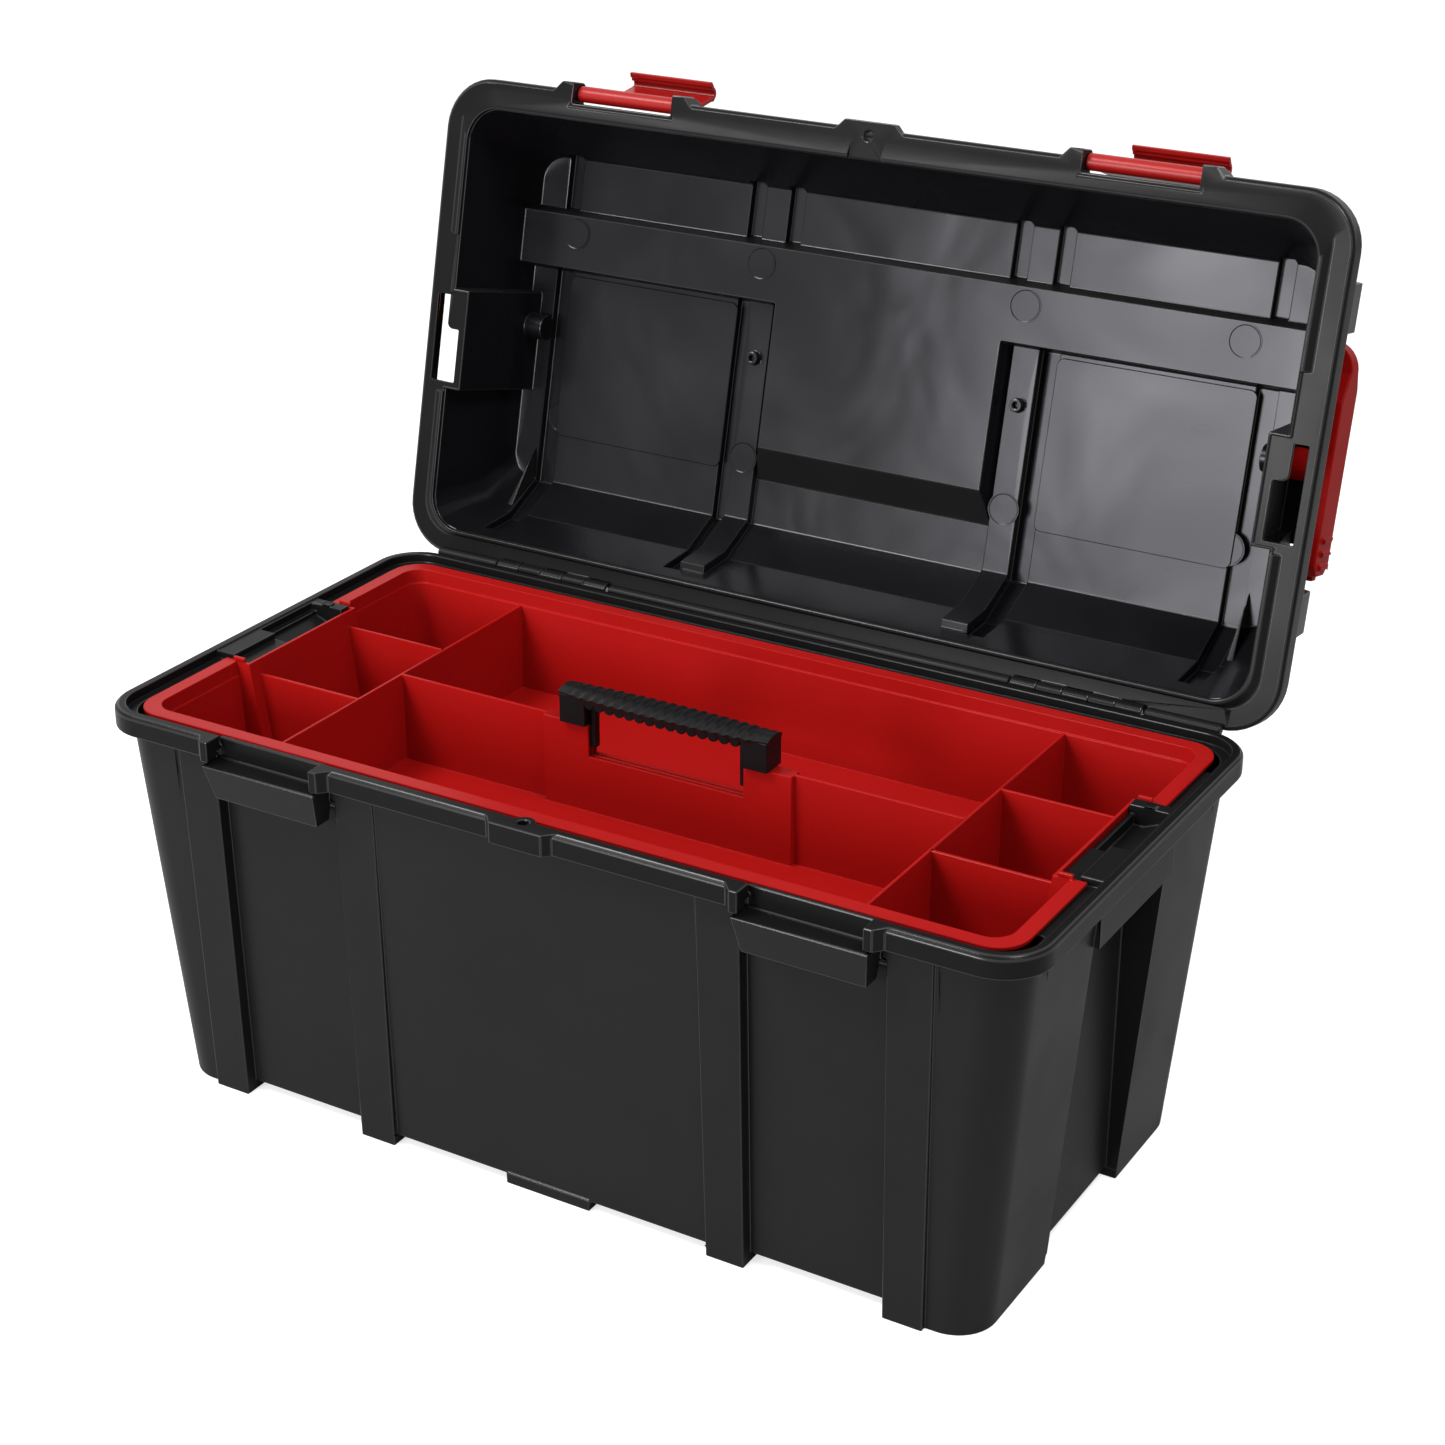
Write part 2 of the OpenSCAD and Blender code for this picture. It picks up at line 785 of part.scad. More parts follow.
module end_bay_inside() {
    floor_z = base_height + gap + rim_plate;
    along_y(bay_y[0] + lid_wall, bay_y[1] - lid_wall, [
        [bay_x[0], floor_z],
        [bay_x[1], base_height + lid_inside + lid_wall],
        [bay_x[1], base_height + lid_inside + 20],
        [lid_x - rim_plate, base_height + lid_inside + 20],
        [lid_x - rim_plate, floor_z]
    ]);
    difference() {
        block(slot_x[0], slot_x[1], slot_y[0], slot_y[1], base_height - 5, floor_z + 1);
        slot_tab();
    }
}

// Cover over the hub, on the outside of the lid
module bay_roof() {
    low = pivot_z + hub_r + gap * 2;
    inner = bay_x[1] - lid_wall;
    edge_x = tongue_x[0] - gap * 2;
    along_y(bay_y[0], bay_y[1] + lid_wall * 2, [
        [inner, base_height + lid_inside],
        [inner, low + lid_wall],
        [edge_x, low + lid_wall],
        [edge_x, low],
        [bay_x[1], low],
        [bay_x[1], base_height + lid_inside]
    ]);
}

// Rounded tab that narrows the front part of the slot
module slot_tab() {
    tab_r = 4;
    translate([0, 0, base_height - 6])
        linear_extrude(rim_plate + 8)
            polygon(round_box(slot_x[0] - tab_r * 2, arm_x - 1.2, slot_y[0] - tab_r * 2, slot_tab_y, tab_r));
}

// Thin raised edge around the bay, in line with the seal lip
module bay_edge() {
    low = base_height - 0.7;
    high = base_height + gap + skin;
    edge = 1.5;
    inner = bay_x[0] - lid_wall;
    difference() {
        union() {
            block(inner, lid_in_x + edge, bay_y[0], bay_y[1], low, high);
            block(lid_in_x, lid_in_x + edge, -end_panel_half - 4, end_panel_half + 4, low, high);
        }
        block(inner + edge, far, bay_y[0] + edge, bay_y[1] - edge, low - 1, high + 1);
    }
}

module leg() {
    intersection() {
        difference() {
            along_x(leg_x[0], leg_x[1], lid_profile(1));
            along_x(leg_x[0] - 1, leg_x[1] + 1, lid_profile(-leg_height));
        }
        translate([0, 0, base_height + 14])
            linear_extrude(lid_inside)
                polygon(round_box(leg_x[0], leg_x[1], channel_y[1] - 1, far, 4));
    }
}

module leg_stud() {
    x = (leg_x[0] + leg_x[1]) / 2;
    z = base_height + lid_inside - leg_height * 2;
    translate([x, 1.5, z])
        difference() {
            cylinder(h = leg_height * 1.5, r = leg_stud_r);
            translate([0, 0, -1])
                cylinder(h = leg_height, r = leg_stud_r * 0.45);
        }
}

module lid_ears() {
    z0 = base_height + gap;
    y_out = lid_front - ear_proud + 0.5;
    translate([latch_offset, 0, 0])
        difference() {
            intersection() {
                tab(ear_gap / 2 + ear_width, lid_front + 3, y_out, 7, z0, z0 + 17);
                along_x(-far, far, [
                    [y_out, z0],
                    [y_out, z0 + 12],
                    [y_out + 3, z0 + 16],
                    [lid_front + 4, z0 + 16],
                    [lid_front + 4, z0]
                ]);
            }
            block(-ear_gap / 2, ear_gap / 2, -far, far, z0 - 1, z0 + 20);
        }
}

module lid_ear_recess() {
    translate([latch_offset, 0, 0])
        block(-ear_gap / 2, ear_gap / 2, -far, latch_y + barrel_r + 1.2,
            base_height - 1, base_height + 20);
}

module end_bulges() {
    for (y = [bulge_front, bulge_back])
        along_y(y[0], y[1], [
            [lid_in_x - 3, base_height + 10],
            [lid_x - 2.5, base_height + 10],
            [lid_x - 7, base_height + 46],
            [lid_in_x - 6, base_height + 56]
        ]);
}

module lid_shell() {
    difference() {
        union() {
            lid_form(lid_wall, base_height + gap);
            stiffeners(groove_width + 4, lid_wall + groove_depth);
            both_ends() end_bulges();
        }
        difference() {
            union() {
                lid_form(0, base_height);
                stiffeners(groove_width, groove_depth);
            }
            grip_recess(0);
            both_ends() {
                end_bay_outside();
                leg();
            }
        }
        grip_recess(lid_wall);
        both_ends() end_bay_inside();
    }
}

module lid() {
    boss_in = bay_x[1] - lid_wall - 10;
    color(black)
        lid_stand()
            difference() {
                union() {
                    lid_shell();
                    difference() {
                        union() {
                            lid_flange();
                            seal_lip();
                        }
                        both_ends() end_bay_inside();
                    }
                    tab(tab_half, lid_front + 3, lid_front - tab_proud, 7,
                        base_height + gap, base_height + 6);
                    both_ends() {
                        lid_ears();
                        lid_knuckles();
                        bay_edge();
                        bay_roof();
                        leg_stud();
                        rod(boss_in, bay_x[1] + 0.5, pivot_y, pivot_z, pivot_r + 4);
                    }
                }
                translate([0, -rim_y + padlock_inset, base_height - 1])
                    cylinder(h = flange_height + 5, r = padlock_r);
                both_ends() {
                    lid_ear_recess();
                    rod(latch_offset - ear_gap / 2 - ear_width / 2,
                        latch_offset + ear_gap / 2 + ear_width / 2, latch_y, latch_z, stub_r + fit);
                    rod(boss_in + 2.5, bay_x[0], pivot_y, pivot_z, pivot_r + fit);
                    rod(hinge_edges[1] - 1, hinge_edges[4] + 1, hinge_y, hinge_z, pin_r + fit);
                    for (i = [0, 2, 4])
                        rod(hinge_edges[i] - gap / 2, hinge_edges[i + 1] + gap / 2,
                            hinge_y, hinge_z, knuckle_r + gap);
                    rod(arm_x - 0.8, slot_x[1], pivot_y, pivot_z, lever_length + ridge);
                    intersection() {
                        rod(lid_in_x, tongue_x[1], pivot_y, pivot_z,
                            norm([pivot_rise + tongue_reach, arm_width / 2]) + gap * 2);
                        block(0, far, slot_tab_y + gap, far, 0, far * 2);
                    }
                    rod(arm_x - 0.8, arm_x + arm_thick + ridge + 0.7, pivot_y, pivot_z,
                        pivot_rise - rim_plate - gap * 2);
                }
            }
}

// Swings what is drawn closed to the lid's open stand
module lid_stand() {
    translate([0, hinge_y, hinge_z])
        rotate([-lid_angle, 0, 0])
            translate([0, -hinge_y, -hinge_z])
                children();
}

// ---------- Tray ----------

module tray_notch(e) {
    half = notch_half + e;
    top_x = notch_x - e;
    foot = notch_foot_x - e;
    along_y(-half, half, [
        [top_x, tray_top + 1],
        [foot, tray_floor - 1],
        [far, tray_floor - 1],
        [far, tray_top + 1]
    ]);
}

module tray_walls() {
    both_ends() {
        block(cross_wall_x - tray_wall / 2, cross_wall_x + tray_wall / 2, -tray_y, tray_y,
            tray_floor, divider_top);
        front_and_back()
            block(cross_wall_x, tray_x, divider_y - tray_wall / 2, divider_y + tray_wall / 2,
                tray_floor, divider_top);
    }
    block(-cross_wall_x, cross_wall_x, -tray_wall / 2, tray_wall / 2, tray_floor, divider_top);
    difference() {
        block(-spine_half, spine_half, -spine / 2, spine / 2, tray_floor, divider_top);
        block(-spine_half + tray_wall, spine_half - tray_wall, -spine / 2 + tray_wall, spine / 2 - tray_wall,
            tray_floor - 1, divider_top - tray_wall);
    }
}

module tray() {
    step = 1.3;
    outer_x = tray_in_x + tray_wall;
    outer_y = tray_in_y + tray_wall;
    color(red)
        difference() {
            union() {
                slab(tray_x, -tray_y, tray_y, 18, tray_top - tray_flange, tray_top);
                hull() {
                    slab(outer_x, -outer_y, outer_y, 14, tray_top - skin, tray_top);
                    slab(outer_x - tray_draft, -outer_y + tray_draft, outer_y - tray_draft, 12,
                        tray_floor, tray_floor + skin);
                }
                both_ends()
                    front_and_back()
                        block(notch_x + 1, notch_x + 9, notch_half + 0.5, notch_half + 0.5 + tray_wall,
                            tray_top - 1, tray_top + upstand);
            }
            both_ends() tray_notch(0);
            difference() {
                union() {
                    slab(tray_in_x, -tray_in_y, tray_in_y, 12, divider_top, tray_top + 1);
                    hull() {
                        slab(tray_in_x - step, -tray_in_y + step, tray_in_y - step, 11,
                            divider_top, divider_top + skin);
                        slab(tray_in_x - tray_draft, -tray_in_y + tray_draft, tray_in_y - tray_draft, 9,
                            tray_floor + tray_wall, tray_floor + tray_wall + skin);
                    }
                }
                both_ends() tray_notch(tray_wall);
                tray_walls();
            }
            block(-cutout_half, cutout_half, -spine, spine, base_height - cutout_drop, tray_top);
        }
}

// ---------- Tray handle ----------

module tray_handle() {
    top = base_height + comb_rise;
    low = top - comb_height;
    half = comb_width / 2;
    post = grip_half - cutout_half;
    groove_r = 3;
    pitch = (2 * grip_half - 2 * post + 10) / comb_ribs;
    color(black)
        difference() {
            union() {
                along_x(-grip_half, grip_half, [
                    [-half, low + 2.5],
                    [-half, top - 3],
                    [-half + 3, top],
                    [half - 3, top],
                    [half, top - 3],
                    [half, low + 2.5],
                    [half - 3, low],
                    [-half + 3, low]
                ]);
                both_ends() {
                    block(cutout_half, grip_half, -half + 3, half - 3, divider_top, low + 1);
                    block(cutout_half - 4, cutout_half - gap / 2, -spine / 2, spine / 2,
                        divider_top - 14, low + 1);
                    block(cutout_half - 4, grip_half, -spine / 2, spine / 2, divider_top, low + 1);
                }
            }
            for (i = [0 : comb_ribs])
                let (x = (i - comb_ribs / 2) * pitch)
                    for (z = abs(x) < cutout_half - groove_r ? [top + 1.5, low - 1.5] : [top + 1.5])
                        translate([x, 0, z])
                            rotate([90, 0, 0])
                                cylinder(h = comb_width + 2, r = groove_r, center = true, $fn = 24);
        }
}

// ---------- Latches ----------

// A latch drawn shut, with its axis at the origin; a is outward, d is down
function latch_side(points) = [for (p = points) [-p[0], -p[1]]];

module latch() {
    lip_out = 4.2;
    lip_d = keeper_drop + barrel_rise + 0.9;
    lip_a = keeper_out_top + 4.8;
    half = plate_width / 2;
    rod(-ear_gap / 2 + gap, ear_gap / 2 - gap, 0, 0, barrel_r);
    rod(-ear_gap / 2 - ear_width / 2 + gap, ear_gap / 2 + ear_width / 2 - gap, 0, 0, stub_r);
    along_x(-half, half, latch_side([
        [barrel_r - plate, 0],
        [barrel_r, 0],
        [lip_a + plate - 1, 18],
        [lip_a + plate, lip_d + 2],
        [lip_a, lip_d + 2],
        [lip_a - 1, 19]
    ]));
    // the curled end
    difference() {
        rod(-half, half, -lip_a - plate + lip_out, -lip_d - 1, lip_out);
        rod(-half - 1, half + 1, -lip_a - plate + lip_out, -lip_d - 1, lip_out - plate * 0.8);
        block(-half - 1, half + 1, -lip_a - plate - 1, 20, -lip_d - 1, 20);
    }
    along_x(-half, half, latch_side([
        [lip_a + plate - lip_out, lip_d + 2.6 + lip_out * 0.5],
        [lip_a + plate - lip_out, lip_d + 1 + lip_out],
        [1.6, lip_d + 1.6],
        [1.6, lip_d - 0.2],
        [4.2, lip_d - 0.2]
    ]));
}

module latch_in_lid(side, angle) {
    color(red)
        lid_stand()
            translate([side * latch_offset, latch_y, latch_z])
                rotate([-angle, 0, 0])
                    latch();
}

module latch_left() {
    latch_in_lid(-1, left_angle);
}

module latch_right() {
    latch_in_lid(1, right_angle);
}

// ---------- Carry handle, drawn folded and closed ----------

module carry_handle() {
    corner = 16;
    y1 = pivot_y + lever_length;
    z0 = pivot_z - arm_width / 2;
    grip_z = base_height + lid_inside - channel_depth + lid_wall + 0.7;
    grip_y = channel_y[0] + lid_wall + 1;
    out_x = arm_x + arm_thick;
    color(red)
        lid_stand()
            union() {
                // grip bar
                difference() {
                    slab(out_x, grip_y, grip_y + grip_width + 40, corner, grip_z, grip_z + grip_thick);
                    block(-arm_x, arm_x, grip_y + grip_width, far, grip_z - 1, grip_z + grip_thick + 1);
                }
                both_ends() {
                    along_x(arm_x, out_x, [
                        [grip_y + corner, grip_z],
                        [grip_y + corner + 16, z0],
                        [y1 - 6, z0],
                        [y1, z0 + 6],
                        [y1, z0 + arm_width - 6],
                        [y1 - 6, z0 + arm_width],
                        [grip_y + corner + 10, z0 + arm_width],
                        [grip_y + corner, grip_z + grip_thick]
                    ]);
                    rod(bay_x[1] + 3.2, arm_x + 1, pivot_y, pivot_z, hub_r);
                    rod(bay_x[1] - lid_wall - 7, arm_x, pivot_y, pivot_z, pivot_r);
                    for (i = [0 : 2])
                        rod_z(out_x, y1 - 5.5 - i * 7.5, z0 + 5, z0 + arm_width - 5, ridge);
                    // the locking tongue
                    block(tongue_x[0], tongue_x[1], y1 - arm_width, pivot_y + pivot_rise + tongue_reach,
                        pivot_z + arm_width / 2 - tongue_width, pivot_z + arm_width / 2);
                }
            }
}

// A half-round ridge that stands up along Z
module rod_z(x, y, z0, z1, r) {
    translate([x, y, z0])
        cylinder(h = z1 - z0, r = r, $fn = 24);
}

// ---------- Hinge pins ----------

module hinge_pin(side) {
    color(steel)
        rod(side * hinge_offset - hinge_length / 2 + 1, side * hinge_offset + hinge_length / 2 - 1,
            hinge_y, hinge_z, pin_r);
}

module hinge_pin_left() {
    hinge_pin(-1);
}

module hinge_pin_right() {
    hinge_pin(1);
}

base();
lid();
tray();
tray_handle();
latch_left();
latch_right();
carry_handle();
hinge_pin_left();
hinge_pin_right();
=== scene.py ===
# %% [markdown]
# # A moulded toolbox with a lift-out tray
# The box is open on a pale floor: a black base, a black lid that leans back on its hinge, a
# red tray with a black comb grip, two red latches and a red carry handle. The large pieces
# are copies of those parts with softer edges. The comb grip and the small pieces inside the
# lid are modelled here, and placed by the parts' boxes, the rim's height and the hinge.

# %% Load the frame
import bpy
import json
import math
from mathutils import Matrix, Vector


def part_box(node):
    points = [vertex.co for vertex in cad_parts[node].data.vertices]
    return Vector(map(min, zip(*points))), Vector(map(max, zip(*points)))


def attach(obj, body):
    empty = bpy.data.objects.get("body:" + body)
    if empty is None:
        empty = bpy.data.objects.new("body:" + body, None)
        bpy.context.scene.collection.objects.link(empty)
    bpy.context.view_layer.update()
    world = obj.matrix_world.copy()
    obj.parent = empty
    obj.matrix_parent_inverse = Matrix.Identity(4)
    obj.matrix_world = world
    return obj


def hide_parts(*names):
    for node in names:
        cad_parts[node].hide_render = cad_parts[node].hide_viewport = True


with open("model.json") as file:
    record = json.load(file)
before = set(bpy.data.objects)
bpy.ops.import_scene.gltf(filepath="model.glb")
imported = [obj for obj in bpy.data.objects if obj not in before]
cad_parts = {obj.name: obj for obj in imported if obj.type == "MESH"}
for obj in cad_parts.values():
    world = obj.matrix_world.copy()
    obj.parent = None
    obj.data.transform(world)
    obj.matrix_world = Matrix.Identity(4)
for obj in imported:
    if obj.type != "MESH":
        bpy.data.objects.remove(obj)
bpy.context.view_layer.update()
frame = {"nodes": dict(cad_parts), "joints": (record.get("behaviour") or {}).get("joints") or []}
parts = frame["nodes"]
print("parts:", sorted(parts))

# %% [markdown]
# The low and high corners of the parts give later positions. The tray's top lies at the
# height of the rim. The base reaches a little higher, at its hinge brackets.

# %% Measure the box
base_low, base_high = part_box("base")
lid_low, lid_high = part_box("lid")
tray_low, tray_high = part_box("tray")
print("base", base_low, base_high)
print("lid", lid_low, lid_high)
print("tray", tray_low, tray_high)

# %% [markdown]
# ## Camera
# The box is seen from its right front corner and from above. A long lens keeps the edges
# nearly parallel, so the view angle is small and the camera stands back. Angles are in
# degrees and lengths in metres.

# %% Place the camera
CAMERA_AT = (0.7442, -1.1903, 0.8813)
CAMERA_DOWN = 24.75
CAMERA_TURN = 30.81
VIEW_ANGLE = 28.67

camera_data = bpy.data.cameras.new("camera")
camera_data.angle = math.radians(VIEW_ANGLE)
camera = bpy.data.objects.new("camera", camera_data)
camera.location = CAMERA_AT
camera.rotation_euler = (math.radians(90 - CAMERA_DOWN), 0, math.radians(CAMERA_TURN))
bpy.context.scene.collection.objects.link(camera)
bpy.context.scene.camera = camera
bpy.context.scene.view_settings.view_transform = "Standard"
print("camera at", tuple(camera.location))

# %% [markdown]
# ## Small helpers
# Materials are built from nodes. One helper starts an empty material, and another adds a
# node and sets its inputs by name, so that each finish below reads as a short recipe.

# %% Helpers for materials
WHITE = (1, 1, 1, 1)


def new_material(name):
    material = bpy.data.materials.new(name)
    material.use_nodes = True
    material.node_tree.nodes.clear()
    return material


def add(tree, kind, **inputs):
    node = tree.nodes.new(kind)
    for key, value in inputs.items():
        node.inputs[key.replace("_", " ")].default_value = value
    return node


print("helpers for materials are ready")

# %% [markdown]
# ## Floor and background
# The floor is plain and pale, and takes the soft shadow of the box. To a camera ray it is a
# little brighter, so that it reads as white.

# %% Floor
FLOOR_SIZE = 60
FLOOR_GREY = 0.58
FLOOR_GLOW = 0.68


def white_floor():
    material = new_material("floor_white")
    tree = material.node_tree
    paint = add(tree, "ShaderNodeBsdfDiffuse", Color=(FLOOR_GREY, FLOOR_GREY, FLOOR_GREY, 1))
    glow = add(tree, "ShaderNodeEmission", Color=WHITE, Strength=FLOOR_GLOW)
    seen = add(tree, "ShaderNodeLightPath")
    both = add(tree, "ShaderNodeAddShader")
    mix = add(tree, "ShaderNodeMixShader")
    out = add(tree, "ShaderNodeOutputMaterial")
    tree.links.new(paint.outputs[0], both.inputs[0])
    tree.links.new(glow.outputs[0], both.inputs[1])
    tree.links.new(seen.outputs["Is Camera Ray"], mix.inputs[0])
    tree.links.new(paint.outputs[0], mix.inputs[1])
    tree.links.new(both.outputs[0], mix.inputs[2])
    tree.links.new(mix.outputs[0], out.inputs["Surface"])
    return material


bpy.ops.object.select_all(action="DESELECT")
bpy.ops.mesh.primitive_plane_add(size=FLOOR_SIZE, location=(0, 0, 0))
floor = bpy.context.object
floor.name = "floor"
floor.data.materials.append(white_floor())
print("floor is at height", base_low.z)

# %% [markdown]
# The world is white to rays from the camera, from a shiny surface and through a clear one.
# To all others it is a weaker dome that only lights the box.

# %% World
DOME_STRENGTH = 0.55
BACKGROUND_STRENGTH = 1.0

world = bpy.data.worlds.new("world")
bpy.context.scene.world = world
world.use_nodes = True
sky = world.node_tree
sky.nodes.clear()
dome = add(sky, "ShaderNodeBackground", Color=WHITE, Strength=DOME_STRENGTH)
white = add(sky, "ShaderNodeBackground", Color=WHITE, Strength=BACKGROUND_STRENGTH)
ray = add(sky, "ShaderNodeLightPath")
any_seen = sky.nodes.new("ShaderNodeMath")
any_seen.operation = "MAXIMUM"
all_seen = sky.nodes.new("ShaderNodeMath")
all_seen.operation = "MAXIMUM"
sky_mix = add(sky, "ShaderNodeMixShader")
sky_out = add(sky, "ShaderNodeOutputWorld")
sky.links.new(ray.outputs["Is Camera Ray"], any_seen.inputs[0])
sky.links.new(ray.outputs["Is Glossy Ray"], any_seen.inputs[1])
sky.links.new(any_seen.outputs[0], all_seen.inputs[0])
sky.links.new(ray.outputs["Is Transmission Ray"], all_seen.inputs[1])
sky.links.new(all_seen.outputs[0], sky_mix.inputs[0])
sky.links.new(dome.outputs[0], sky_mix.inputs[1])
sky.links.new(white.outputs[0], sky_mix.inputs[2])
sky.links.new(sky_mix.outputs[0], sky_out.inputs["Surface"])
print("dome strength", dome.inputs["Strength"].default_value)

# %% [markdown]
# ## Lights
# A soft box stands in front, a little to the left, and is mirrored in the right half of the
# open lid, which makes that half paler than the left. Another of the same power hangs above,
# to the left, and fills the tray. A weaker one hangs above the right end.

# %% Soft boxes
OVER_BOX = (0, 0, 0.25)


def soft_box(name, place, target, width, height, power):
    data = bpy.data.lights.new(name, "AREA")
    data.shape = "RECTANGLE"
    data.size = width
    data.size_y = height
    data.energy = power
    lamp = bpy.data.objects.new(name, data)
    lamp.location = place
    aim = Vector(target) - Vector(place)
    lamp.rotation_euler = aim.to_track_quat("-Z", "Y").to_euler()
    bpy.context.scene.collection.objects.link(lamp)


soft_box("front_box", (-0.62, -2.35, 0.75), (0.05, 0.2, 0.35), 0.75, 0.85, 40)
soft_box("top_box", (-1.0, -0.95, 2.05), OVER_BOX, 0.8, 0.8, 40)
soft_box("right_box", (1.15, -0.3, 2.2), OVER_BOX, 0.6, 0.6, 22)

# %% [markdown]
# ## Plastics
# Moulded polypropylene has a fine even grain outside and a smoother skin inside, with slow
# waves where the melt flowed. Each finish mixes two close colours and two close roughnesses
# by a slow noise, and a fine noise gives the grain. Noise on Object coordinates stays with
# the piece when it moves. The steel of the pins is made by the same recipe.

# %% Recipe for a finish
def plastic(name, colour, mottle, roughness, specular, flow_size,
            grain_size, grain_depth, wave_depth=0.0):
    material = new_material(name)
    tree = material.node_tree
    place = add(tree, "ShaderNodeTexCoord")
    flow = add(tree, "ShaderNodeTexNoise", Scale=1 / flow_size, Detail=2.0, Roughness=0.5,
               Distortion=0.5)
    grain = add(tree, "ShaderNodeTexNoise", Scale=1 / grain_size, Detail=2.0, Roughness=0.6)
    tint = tree.nodes.new("ShaderNodeMix")
    tint.data_type = "RGBA"
    tint.inputs["A"].default_value = (*[c * (1 - mottle) for c in colour], 1)
    tint.inputs["B"].default_value = (*[c * (1 + mottle) for c in colour], 1)
    rough = add(tree, "ShaderNodeMapRange", To_Min=roughness[0], To_Max=roughness[1],
                From_Min=0.3, From_Max=0.7)
    wave = add(tree, "ShaderNodeBump", Strength=1.0, Distance=wave_depth)
    fine = add(tree, "ShaderNodeBump", Strength=1.0, Distance=grain_depth)
    shader = add(tree, "ShaderNodeBsdfPrincipled")
    shader.inputs["Specular IOR Level"].default_value = specular
    out = add(tree, "ShaderNodeOutputMaterial")
    link = tree.links.new
    link(place.outputs["Object"], flow.inputs["Vector"])
    link(place.outputs["Object"], grain.inputs["Vector"])
    link(flow.outputs["Fac"], tint.inputs["Factor"])
    link(tint.outputs["Result"], shader.inputs["Base Color"])
    link(flow.outputs["Fac"], rough.inputs["Value"])
    link(rough.outputs["Result"], shader.inputs["Roughness"])
    link(flow.outputs["Fac"], wave.inputs["Height"])
    link(grain.outputs["Fac"], fine.inputs["Height"])
    link(wave.outputs["Normal"], fine.inputs["Normal"])
    link(fine.outputs["Normal"], shader.inputs["Normal"])
    link(shader.outputs[0], out.inputs["Surface"])
    return material


print("the recipe for a finish is ready")

# %% [markdown]
# Each finish names its colour, how far that varies, the range of roughness, the strength of
# the reflection, then the sizes of flow and grain and the depths of grain and wave.

# %% Plastic finishes
COOL_SHEEN = (0.94, 0.93, 1.0, 1)

black_satin = plastic("black_satin", (0.0100, 0.0100, 0.0103), 0.12, (0.32, 0.40), 0.11,
                      0.06, 0.0008, 0.00004)
black_gloss = plastic("black_gloss", (0.0045, 0.0045, 0.0056), 0.2, (0.19, 0.30), 0.22,
                      0.09, 0.002, 0.00001, 0.0010)
gloss_shader = black_gloss.node_tree.nodes["Principled BSDF"]
gloss_shader.inputs["Specular Tint"].default_value = COOL_SHEEN
black_rim = plastic("black_rim", (0.0055, 0.0055, 0.0058), 0.1, (0.26, 0.34), 0.09,
                    0.06, 0.002, 0.00001)
black_edge = plastic("black_edge", (0.010, 0.010, 0.0103), 0.1, (0.24, 0.30), 0.34,
                     0.06, 0.002, 0.00001)
red_gloss = plastic("red_gloss", (0.315, 0.0055, 0.0048), 0.06, (0.28, 0.38), 0.12,
                    0.08, 0.003, 0.00001, 0.0003)
red_bright = plastic("red_bright", (0.28, 0.006, 0.005), 0.05, (0.28, 0.36), 0.26,
                     0.08, 0.003, 0.00001, 0.0002)
red_arm = plastic("red_arm", (0.27, 0.0045, 0.004), 0.05, (0.36, 0.44), 0.03,
                  0.08, 0.003, 0.00001, 0.0002)
grip_black = plastic("grip_black", (0.0058, 0.0058, 0.0063), 0.1, (0.28, 0.36), 0.15,
                     0.03, 0.001, 0.00002)
steel = plastic("pin_steel", (0.5, 0.5, 0.52), 0.05, (0.25, 0.35), 0.5,
                0.01, 0.001, 0.00001)
print("finishes:", [m.name for m in bpy.data.materials])

# %% [markdown]
# ## The lid's own directions
# The lid stands open, and its features are easier to place on the closed lid: x along the
# box, y from front to back, and h above the rim. The hinge joint gives the turn between the
# two, so a point on the closed lid can be carried to where it stands now, and back.

# %% Closed and open lid
hinge = next(j for j in frame["joints"] if j["name"] == "lid_hinge")
hinge_at = Vector(hinge["pos_m"])
opened = math.radians(-hinge["range_deg"][0])
rim = tray_high.z
to_hinge = Matrix.Translation(-hinge_at)
turn = Matrix.Translation(hinge_at) @ Matrix.Rotation(-opened, 4, "X") @ to_hinge
back_turn = turn.inverted()


def to_open(x, y, h):
    return turn @ Vector((x, y, rim + h))


def to_closed(point):
    closed = back_turn @ point
    return Vector((closed.x, closed.y, closed.z - rim))


print("rim at", rim, "lid opened by", math.degrees(opened))
print("lid front edge stands at", to_open(0, -0.144, 0))

# %% [markdown]
# ## Soft edges
# A moulded part has no knife-sharp edge. Each large piece is a merged copy of its part, its
# edges take a small bevel, and weighted normals keep the large faces flat while the bevels
# shade softly.

# %% Round the edges of a copy
MERGE_WITHIN = 0.000002
FLAT_WITHIN = math.radians(1)
ANY_SHAPE = math.radians(180)
EDGE_SLOT, RIM_SLOT, SKIN_SLOT = 1, 2, 3


def fresh():
    if bpy.context.object and bpy.context.object.mode != "OBJECT":
        bpy.ops.object.mode_set(mode="OBJECT")
    bpy.ops.object.select_all(action="DESELECT")


def shade(piece, crease):
    bpy.ops.object.shade_smooth_by_angle(angle=math.radians(crease))
    flat = piece.modifiers.new("flat", "WEIGHTED_NORMAL")
    flat.keep_sharp = True
    flat.weight = 100
    bpy.ops.object.modifier_apply(modifier="flat")


